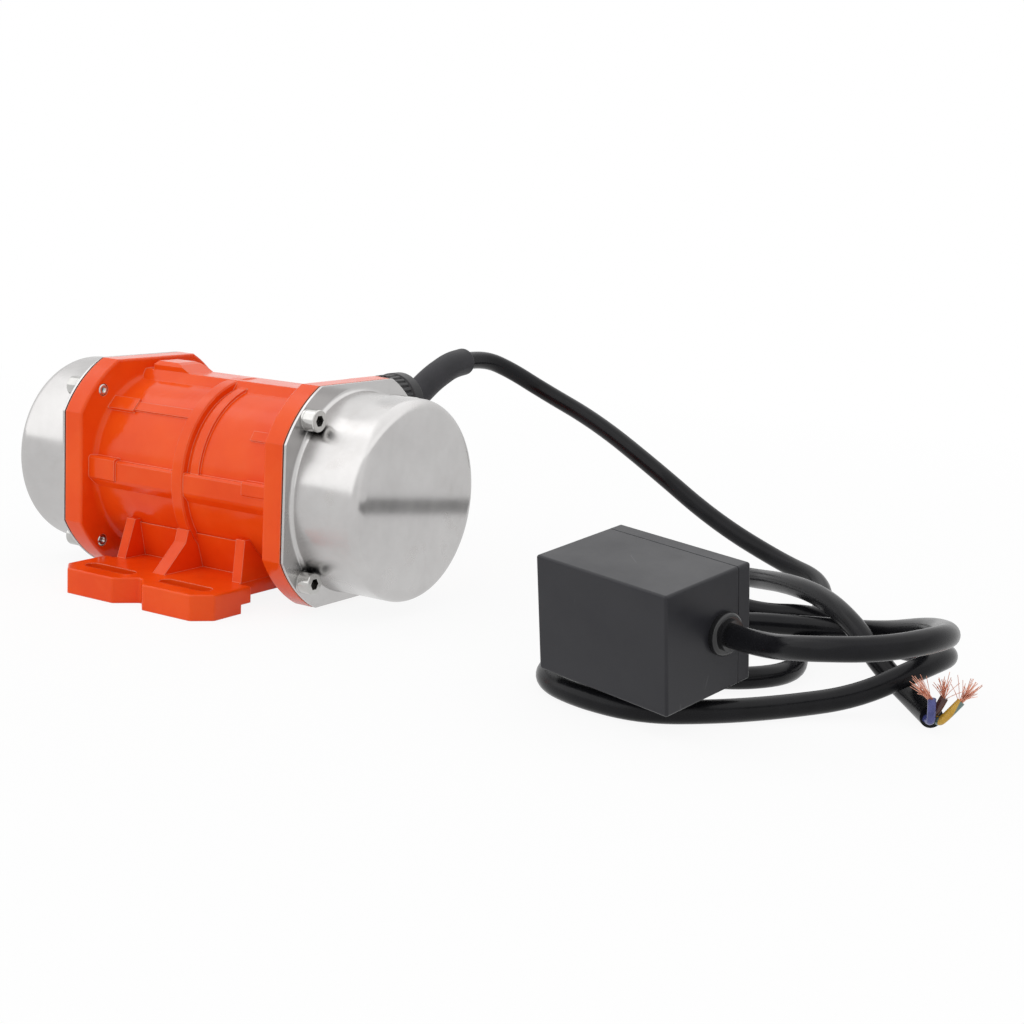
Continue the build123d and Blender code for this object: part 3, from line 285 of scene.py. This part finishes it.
# Painted highlight: a pale tint laid along every sharp edge and inner corner.
body_tone = mixed(tree, ranged(tree, edges, 0.0, 0.8, 0.05, 0.85), body_tone, (0.98, 0.44, 0.28))
peel = relief(tree, pattern(tree, 330.0, 2.0), 0.10 * MM, 0.5, rounded)
cast = relief(tree, pattern(tree, 90.0, 3.0), 0.5 * MM, 0.35, peel)
set_links(tree, shader, Base_Color=body_tone, Normal=cast,
          Roughness=ranged(tree, pattern(tree, 120.0, 5.0), 0.12, 0.20))
shader.inputs["Specular IOR Level"].default_value = 0.20
coat(enamel, "housing", "housing_base")

# Stator
# A stack of varnished steel sheets pressed into the housing, wound with enamelled copper,
# with three insulated leads out to the cable entry.
laminations, tree, shader = new_finish("lamination_stack")
place = add(tree, "ShaderNodeTexCoord")
sheets = add(tree, "ShaderNodeTexWave", bands_direction="X", Scale=320.0, Distortion=0.4, Detail=2.0)
tree.links.new(place.outputs["Object"], sheets.inputs["Vector"])
oxide = pattern(tree, 90.0, 6.0)
sheet_tone = mixed(tree, ranged(tree, sheets.outputs["Fac"], 0.0, 0.6, 0.1, 0.5),
                   (0.05, 0.05, 0.055), tinted(tree, oxide, (0.16, 0.16, 0.18), (0.30, 0.30, 0.32)))
set_links(tree, shader, Base_Color=sheet_tone, Roughness=ranged(tree, oxide, 0.38, 0.6),
          Normal=relief(tree, sheets.outputs["Fac"], 0.15 * MM, 0.6))
shader.inputs["Metallic"].default_value = 0.9
coat(laminations, "stator_core", "rotor_core")

winding, tree, shader = new_finish("enamelled_winding")
place = add(tree, "ShaderNodeTexCoord")
wires = add(tree, "ShaderNodeTexWave", bands_direction="X", Scale=230.0, Distortion=6.0, Detail=3.0,
            Detail_Scale=1.4)
tree.links.new(place.outputs["Object"], wires.inputs["Vector"])
varnish = pattern(tree, 70.0, 6.0)
wire_tone = tinted(tree, wires.outputs["Fac"], (0.16, 0.035, 0.010), (0.62, 0.22, 0.08), 0.1, 0.8)
wire_tone = mixed(tree, ranged(tree, varnish, 0.0, 0.5), wire_tone, (0.30, 0.07, 0.02))
set_links(tree, shader, Base_Color=wire_tone,
          Roughness=ranged(tree, varnish, 0.22, 0.5),
          Normal=relief(tree, wires.outputs["Fac"], 0.4 * MM, 0.9))
shader.inputs["Metallic"].default_value = 0.75
shader.inputs["Coat Weight"].default_value = 0.4
coat(winding, "stator_winding")

insulation, tree, shader = new_finish("lead_insulation")
lead_tone = pattern(tree, 160.0, 4.0)
set_links(tree, shader, Base_Color=tinted(tree, lead_tone, (0.30, 0.03, 0.02), (0.42, 0.06, 0.04)),
          Roughness=ranged(tree, lead_tone, 0.4, 0.55),
          Normal=relief(tree, pattern(tree, 900.0), 0.05 * MM, 0.3))
coat(insulation, "motor_leads")


# Rotor, shaft and weights
# A ground steel shaft carries the pressed stack with its cast aluminium cage, and the two
# pairs of sawn and milled steel weights with their keys and spacers.
# Near black laid into recesses as painted shade.
RECESS_SHADE_TONE = (0.02, 0.018, 0.016)


def metal(name, dull, bright, gloss, grain, depth, stretch=(1, 1, 1), recess=0.0):
    """A bare metal whose tone and gloss vary, with tool marks, a painted highlight along its edges, and
    painted shade darkening its recesses when a depth is given.
    """
    material, tree, shader = new_finish(name)
    handled = pattern(tree, 55.0, 6.0, roughness=0.65)
    marks = pattern(tree, grain, 4.0, stretch)
    edges, rounded = edge_of(tree, 0.3 * MM)
    # Painted highlight: edges and inner corners lightened towards the bright tone.
    tone = mixed(tree, ranged(tree, edges, 0.0, 0.5, 0.0, 1.0), tinted(tree, handled, dull, bright), bright)
    if recess:
        # Painted shade: recesses within the given depth are darkened towards near black.
        open_sky = add(tree, "ShaderNodeAmbientOcclusion", samples=8, Distance=recess)
        tone = mixed(tree, ranged(tree, open_sky.outputs["AO"], 1.0, 0.0, 0.30, 0.62), tone, RECESS_SHADE_TONE)
    set_links(tree, shader, Base_Color=tone, Roughness=ranged(tree, handled, *gloss),
              Normal=relief(tree, marks, depth * MM, 0.6, rounded))
    shader.inputs["Metallic"].default_value = 1.0
    return material


machined = metal("machined_steel", (0.38, 0.38, 0.40), (0.52, 0.52, 0.54), (0.24, 0.42), 400.0, 0.04,
                 (6, 1, 1))
coat(machined, "shaft", "key_left", "key_right", "weight_spacers_left", "weight_spacers_right")
milled = metal("milled_steel", (0.28, 0.28, 0.30), (0.42, 0.42, 0.44), (0.3, 0.5), 260.0, 0.06, (1, 5, 1))
coat(milled, "fixed_weight_left", "fixed_weight_right", "adjustable_weight_left", "adjustable_weight_right")
cast_aluminium = metal("cast_aluminium", (0.50, 0.51, 0.52), (0.66, 0.67, 0.68), (0.42, 0.62), 520.0, 0.16)
coat(cast_aluminium, "rotor_cage", "end_shield_left", "end_shield_right")

# Bearings and retaining rings
# Ground and polished bearing rings and balls, pressed cages, and spring steel rings that
# keep the end shields and the weights in place.
ground = metal("ground_steel", (0.62, 0.62, 0.64), (0.74, 0.74, 0.76), (0.12, 0.24), 500.0, 0.015,
               (5, 1, 1))
spring = metal("blackened_spring", (0.045, 0.045, 0.05), (0.10, 0.10, 0.11), (0.3, 0.45), 450.0, 0.03)
for end in ("left", "right"):
    coat(ground, "bearing_outer_" + end, "bearing_inner_" + end, "bearing_balls_" + end,
         "bearing_cage_" + end)
    coat(spring, "shield_ring_" + end, "shaft_ring_" + end)

# Gaskets
# Thin black rubber sheet, cut to the flange and squeezed between it and the cover.
rubber, tree, shader = new_finish("gasket_rubber")
bloom = pattern(tree, 120.0, 5.0)
set_links(tree, shader, Base_Color=tinted(tree, bloom, (0.010, 0.010, 0.011), (0.022, 0.022, 0.024)),
          Roughness=ranged(tree, bloom, 0.55, 0.75),
          Normal=relief(tree, pattern(tree, 1200.0), 0.05 * MM, 0.4))
coat(rubber, "gasket_left", "gasket_right", "gland_seal")

# Covers
# Deep drawn from stainless sheet: a satin cup with drawing marks along its wall, a few
# fingerprints on its end face, and a painted highlight, a pale tint, along its edges and inner corners.
stainless, tree, shader = new_finish("stainless_sheet")
edges, rounded = edge_of(tree, 0.25 * MM)
clouds = pattern(tree, 34.0, 5.0, roughness=0.6)
drawn = pattern(tree, 260.0, 5.0, (0.06, 1, 1), 0.6)
rolled = pattern(tree, 420.0, 4.0, (1, 1, 0.08), 0.6)
smudge = ranged(tree, pattern(tree, 130.0, 5.0, roughness=0.6), 0.0, 1.0, 0.50, 0.72)
patchy = ranged(tree, pattern(tree, 24.0, 2.0), 0.0, 1.0, 0.48, 0.66)
marked = add(tree, "ShaderNodeMath", operation="MULTIPLY")
tree.links.new(smudge, marked.inputs[0])
tree.links.new(patchy, marked.inputs[1])
steel_tone = tinted(tree, clouds, (0.49, 0.48, 0.475), (0.56, 0.55, 0.545))
steel_tone = mixed(tree, ranged(tree, marked.outputs[0], 0.0, 0.22, 0.0, 1.0), steel_tone,
                   (0.42, 0.39, 0.36))
# Painted highlight: edges and inner corners tinted near white.
steel_tone = mixed(tree, ranged(tree, edges, 0.0, 0.6, 0.0, 1.0), steel_tone, (0.86, 0.86, 0.86))
gloss = add(tree, "ShaderNodeMath", operation="ADD")
tree.links.new(ranged(tree, clouds, 0.22, 0.27), gloss.inputs[0])
tree.links.new(ranged(tree, marked.outputs[0], 0.0, 0.05, 0.0, 1.0), gloss.inputs[1])
marks = relief(tree, drawn, 0.012 * MM, 0.2, rounded)
marks = relief(tree, rolled, 0.008 * MM, 0.2, marks)
brushed = add(tree, "ShaderNodeTangent", direction_type="RADIAL", axis="Z")
set_links(tree, shader, Base_Color=steel_tone, Roughness=gloss.outputs[0], Normal=marks,
          Tangent=brushed.outputs[0])
shader.inputs["Anisotropic"].default_value = 0.85
shader.inputs["Metallic"].default_value = 1.0
coat(stainless, "cover_left", "cover_right")

# Screws and washers
# Bright plated socket screws with split spring washers, and the small screws of the lid.
# Their sockets and other recesses are darkened with painted shade.
SOCKET_DEPTH = 4.0 * MM
plating = metal("bright_plating", (0.44, 0.435, 0.42), (0.58, 0.575, 0.56), (0.12, 0.22), 620.0, 0.03,
                (3, 1, 1), SOCKET_DEPTH)
for end in ("left", "right"):
    coat(plating, "cover_screws_" + end, "cover_washers_" + end, "clamp_screw_" + end)
coat(plating, "box_screws")

# Cable gland
# Black nylon body and nut, a little shiny where the mould was polished, with a painted highlight, a pale
# tint, along their edges.
nylon, tree, shader = new_finish("black_nylon")
edges, rounded = edge_of(tree, 0.4 * MM)
scuff = pattern(tree, 90.0, 6.0, roughness=0.65)
nylon_tone = tinted(tree, scuff, (0.012, 0.012, 0.013), (0.026, 0.026, 0.028))
# Painted highlight: a pale tint laid along edges and inner corners.
nylon_tone = mixed(tree, ranged(tree, edges, 0.0, 0.6, 0.0, 1.0), nylon_tone, (0.16, 0.16, 0.165))
set_links(tree, shader, Base_Color=nylon_tone, Roughness=ranged(tree, scuff, 0.3, 0.45),
          Normal=relief(tree, pattern(tree, 700.0), 0.04 * MM, 0.4, rounded))
shader.inputs["Specular IOR Level"].default_value = 0.3
coat(nylon, "gland_body", "gland_nut")

# Bend protector
# Dull moulded rubber sleeve that keeps the cable from kinking at the gland.
sleeve_rubber, tree, shader = new_finish("sleeve_rubber")
chalk = pattern(tree, 75.0, 6.0, roughness=0.65)
set_links(tree, shader, Base_Color=tinted(tree, chalk, (0.018, 0.018, 0.021), (0.036, 0.035, 0.040)),
          Roughness=ranged(tree, chalk, 0.5, 0.66),
          Normal=relief(tree, pattern(tree, 1500.0, 3.0), 0.07 * MM, 0.5))
shader.inputs["Specular IOR Level"].default_value = 0.25
coat(sleeve_rubber, "cable_sleeve")

# Capacitor box
# A deep black moulding with a finely sparked surface and a lid on its back, lightly
# scratched by handling, with rubber grommets, a capacitor and a connector inside.
moulding, tree, shader = new_finish("box_moulding")
edges, rounded = edge_of(tree, 0.5 * MM)
haze = pattern(tree, 45.0, 6.0, roughness=0.6)
place = add(tree, "ShaderNodeTexCoord")
turned = add(tree, "ShaderNodeMapping", Rotation=(0.3, 0.9, 1.1), Scale=(1, 1, 0.12))
scratch = add(tree, "ShaderNodeTexVoronoi", feature="DISTANCE_TO_EDGE", Scale=70.0)
tree.links.new(place.outputs["Object"], turned.inputs["Vector"])
tree.links.new(turned.outputs["Vector"], scratch.inputs["Vector"])
thin = ranged(tree, scratch.outputs["Distance"], 1.0, 0.0, 0.0, 0.012)
few = ranged(tree, pattern(tree, 60.0, 2.0), 0.0, 1.0, 0.62, 0.68)
scratched = add(tree, "ShaderNodeMath", operation="MULTIPLY")
tree.links.new(thin, scratched.inputs[0])
tree.links.new(few, scratched.inputs[1])
box_tone = tinted(tree, haze, (0.016, 0.016, 0.020), (0.022, 0.022, 0.026))
box_tone = mixed(tree, ranged(tree, scratched.outputs[0], 0.0, 0.4, 0.0, 1.0), box_tone,
                 (0.12, 0.12, 0.125))
# Painted highlight: edges and inner corners lightened a little.
box_tone = mixed(tree, ranged(tree, edges, 0.0, 0.2, 0.0, 1.0), box_tone, (0.07, 0.07, 0.075))
set_links(tree, shader, Base_Color=box_tone, Roughness=ranged(tree, haze, 0.34, 0.44),
          Normal=relief(tree, pattern(tree, 2400.0, 2.0), 0.04 * MM, 0.35, rounded))
shader.inputs["Specular IOR Level"].default_value = 0.3
coat(moulding, "box_body", "box_lid")

grommet_rubber, tree, shader = new_finish("grommet_rubber")
wet = pattern(tree, 130.0, 4.0)
set_links(tree, shader, Base_Color=tinted(tree, wet, (0.008, 0.008, 0.009), (0.018, 0.018, 0.019)),
          Roughness=ranged(tree, wet, 0.10, 0.2),
          Normal=relief(tree, pattern(tree, 300.0), 0.1 * MM, 0.4))
coat(grommet_rubber, "grommet_left", "grommet_right")

case_plastic, tree, shader = new_finish("grey_plastic")
case_tone = pattern(tree, 80.0, 5.0)
set_links(tree, shader, Base_Color=tinted(tree, case_tone, (0.26, 0.27, 0.28), (0.34, 0.35, 0.36)),
          Roughness=ranged(tree, case_tone, 0.42, 0.58),
          Normal=relief(tree, pattern(tree, 1400.0), 0.04 * MM, 0.3))
coat(case_plastic, "capacitor", "terminal_block")


# Cables
# Two lengths of round three core flex with a black sheath. The first runs from the gland
# round behind the capacitor box and under it, and the second from the box to a cut end.
CABLE_WIDTH = 7.8 * MM
BOX_CORNER = (235.9, -74.3, 7.9)
BOX_TILT = 9.5
BOX_YAW = -14.5
BOX_WIDTH = 56.0
GROMMET_PLACE = (26.6, 20.0)


def grommet_axis(side, distance):
    """A place on the axis of a box grommet, so far outside the wall, in millimetres."""
    turn = Matrix.Rotation(math.radians(BOX_TILT), 3, "X") @ Matrix.Rotation(math.radians(BOX_YAW), 3, "Z")
    along = distance if side > 0 else -BOX_WIDTH - distance
    return tuple(Vector(BOX_CORNER) + turn @ Vector((along, *GROMMET_PLACE)))


motor_cable_route = [
    (33.0, 112.0, 87.5), (33.3, 126.8, 88.2), (39, 141, 82.7), (52, 150, 73.7), (83, 148, 62.5),
    (117, 140, 47), (151, 136, 28), (184, 135, 15), (207, 123, 13), (218, 98, 6), (224, 66, 4),
    (233, 37, 5), (242, 12, 5), (232.5, -8, 5), (212, -15, 4), (192, -5.5, 4), (176, -13, 4),
    (170.5, -33, 4), (179, -52.5, 4), (199, -61.5, 4), (222, -62, 4), (240, -45.5, 4),
    (254.5, -25.5, 4), (271, -5, 6), (287, 8, 16), (291, 30, 17), (279, 50, 10), (256, 60, 8),
    (231, 60, 15), (206, 53, 12), (184, 36, 24), (163, 18, 32), (156, -8, 34), (162.5, -25.5, 34),
    grommet_axis(-1, 15), grommet_axis(-1, 1)]
power_lead_route = [
    grommet_axis(1, 1), grommet_axis(1, 15), (276.5, -68.5, 36.5), (298, -62, 39), (309, -38, 40),
    (300, -8, 34), (286, 17, 28), (264, 37, 18.5), (237, 44.5, 14), (208, 37.5, 12.5), (176, 32, 5),
    (149, 41, 4), (136, 64, 4), (146, 89, 8), (168, 99, 15), (191, 90, 17), (215, 65, 23.5),
    (238, 45, 25.5), (257, 28, 21), (270, 20, 11), (284, 13, 4.5), (296, -3, 4.1)]

sheath, tree, shader = new_finish("cable_sheath")
rubbed = pattern(tree, 60.0, 6.0, roughness=0.65)
set_links(tree, shader, Base_Color=tinted(tree, rubbed, (0.006, 0.006, 0.007), (0.011, 0.011, 0.013)),
          Roughness=ranged(tree, rubbed, 0.20, 0.30),
          Normal=relief(tree, pattern(tree, 900.0), 0.06 * MM, 0.3))
shader.inputs["Specular IOR Level"].default_value = 0.15


def smooth_line(name, points, width, sides=10):
    """A round cord whose centre line is one smooth spline guided by a route in millimetres."""
    line = bpy.data.curves.new(name, "CURVE")
    line.dimensions = "3D"
    spline = line.splines.new("NURBS")
    spline.points.add(len(points) - 1)
    for point, spot in zip(spline.points, points):
        point.co = (spot[0] * MM, spot[1] * MM, spot[2] * MM, 1)
    spline.order_u = 3
    spline.use_endpoint_u = True
    spline.resolution_u = 12
    line.bevel_depth = width / 2
    line.bevel_resolution = sides
    line.use_fill_caps = True
    piece = bpy.data.objects.new(name, line)
    bpy.context.scene.collection.objects.link(piece)
    return piece


motor_cable = smooth_line("motor_cable_sheath", motor_cable_route, CABLE_WIDTH)
motor_cable.data.materials.append(sheath)
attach(motor_cable, "frame")
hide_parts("motor_cable")

power_lead = smooth_line("power_lead_sheath", power_lead_route, CABLE_WIDTH)
power_lead.data.materials.append(sheath)
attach(power_lead, "frame")
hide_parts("power_lead")

# Cores and strands
# Three insulated cores come out of the cut sheath, blue, brown and green with yellow, and
# each ends in a bunch of fine bare copper wires that fans out where it was untwisted.
CORE_WIDTH = 2.8 * MM
CORE_LAY = 1.68
KNEE = 2.4
WIRE_WIDTH = 0.2 * MM
WIRE_COUNT = 34
WIRE_POINTS = 5
BUNDLE_RADIUS = 0.6
UPWARD_SPREAD = 0.35
ACROSS_SPREAD = 0.45
OUTWARD_SPREAD = 0.4
STRIPE_TURNS = 1.1


def as_mesh(line, material, stands_for):
    """Turn a curve into a mesh piece that rides on the frame in place of a frame node."""
    bpy.context.view_layer.update()
    shape = bpy.data.meshes.new_from_object(line.evaluated_get(bpy.context.evaluated_depsgraph_get()))
    name = line.name
    bpy.data.objects.remove(line)
    piece = bpy.data.objects.new(name, shape)
    bpy.context.scene.collection.objects.link(piece)
    shape.materials.clear()
    shape.materials.append(material)
    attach(piece, "frame")
    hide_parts(stands_for)
    return piece


def striped(tree, base, stripe):
    """Two colours that wind round a core together, read from the core's own unwrapping."""
    unwrapped = add(tree, "ShaderNodeTexCoord")
    parts = add(tree, "ShaderNodeSeparateXYZ")
    tree.links.new(unwrapped.outputs["UV"], parts.inputs[0])
    wound = add(tree, "ShaderNodeMath", operation="MULTIPLY_ADD")
    wound.inputs[1].default_value = STRIPE_TURNS
    tree.links.new(parts.outputs["X"], wound.inputs[0])
    tree.links.new(parts.outputs["Y"], wound.inputs[2])
    place = add(tree, "ShaderNodeMath", operation="FRACT")
    tree.links.new(wound.outputs[0], place.inputs[0])
    return mixed(tree, ranged(tree, place.outputs[0], 0.0, 1.0, 0.56, 0.60), base, stripe)


random.seed(7)
copper, tree, shader = new_finish("bare_copper")
tarnish = pattern(tree, 400.0, 5.0)
set_links(tree, shader, Base_Color=tinted(tree, tarnish, (0.52, 0.20, 0.13), (0.90, 0.50, 0.37)),
          Roughness=ranged(tree, tarnish, 0.2, 0.4),
          Normal=relief(tree, pattern(tree, 2500.0), 0.02 * MM, 0.3))
shader.inputs["Metallic"].default_value = 1.0

lead_end = Vector(power_lead_route[-1])
outward = (lead_end - Vector(power_lead_route[-2])).normalized()
across = Vector((0.853, 0.522, 0.0))
upward = Vector((0.0, 0.0, 1.0))
for colour, turn, reach, lean, rise_length, fan_lean, wire_reach, tones in (
        ("blue", 205, 3.2, -0.08, 6.6, -1.35, 8.0, ((0.05, 0.06, 0.22), (0.10, 0.11, 0.34))),
        ("brown", 90, 1.3, 0.42, 4.6, -0.35, 6.0, ((0.07, 0.025, 0.02), (0.13, 0.05, 0.04))),
        ("green_yellow", 330, 2.6, 0.80, 8.2, 0.55, 6.2, ((0.62, 0.34, 0.03), (0.74, 0.45, 0.06)))):
    plastic, tree, shader = new_finish(colour + "_core")
    shade = tinted(tree, pattern(tree, 260.0, 4.0), *tones)
    if colour == "green_yellow":
        shade = striped(tree, shade, (0.16, 0.24, 0.22))
    set_links(tree, shader, Base_Color=shade, Roughness=ranged(tree, pattern(tree, 300.0), 0.22, 0.34),
              Normal=relief(tree, pattern(tree, 1200.0), 0.04 * MM, 0.3))
    angle = math.radians(turn)
    offset = (across * math.cos(angle) + upward * math.sin(angle)) * CORE_LAY
    start = lead_end + offset - outward * offset.dot(outward)
    rise = (upward + across * lean).normalized()
    bend = start + outward * reach
    knee = bend + (outward + rise).normalized() * KNEE
    tip = knee + rise * rise_length
    core = smooth_line("insulated_core_" + colour, [start, bend, knee, tip], CORE_WIDTH, 6)
    as_mesh(core, plastic, "core_" + colour)

    bunch = bpy.data.curves.new("wires", "CURVE")
    bunch.dimensions = "3D"
    bunch.bevel_depth = WIRE_WIDTH / 2
    bunch.bevel_resolution = 1
    bunch.use_fill_caps = True
    for _ in range(WIRE_COUNT):
        ring = Vector((random.uniform(-1, 1), random.uniform(-1, 1), random.uniform(-1, 1))) * BUNDLE_RADIUS
        fan = upward * random.gauss(1.0, UPWARD_SPREAD) + across * random.gauss(fan_lean, ACROSS_SPREAD)
        fan = (fan + outward * random.gauss(0.0, OUTWARD_SPREAD)).normalized()
        curl = Vector((random.gauss(0, 1), random.gauss(0, 1), random.gauss(0, 0.6)))
        length = wire_reach * random.uniform(0.6, 1.12)
        spline = bunch.splines.new("NURBS")
        spline.points.add(WIRE_POINTS - 1)
        for number, point in enumerate(spline.points):
            along = number / (WIRE_POINTS - 1)
            spot = tip + ring - rise * (1 - along) ** 2 + rise * along * 1.2 + fan * length * along ** 1.5
            spot += curl * along ** 2
            point.co = (*(spot * MM), 1)
        spline.order_u = 4
        spline.use_endpoint_u = True
        spline.resolution_u = 5
    wires = bpy.data.objects.new("copper_wires_" + colour, bunch)
    bpy.context.scene.collection.objects.link(wires)
    as_mesh(wires, copper, "strands_" + colour)
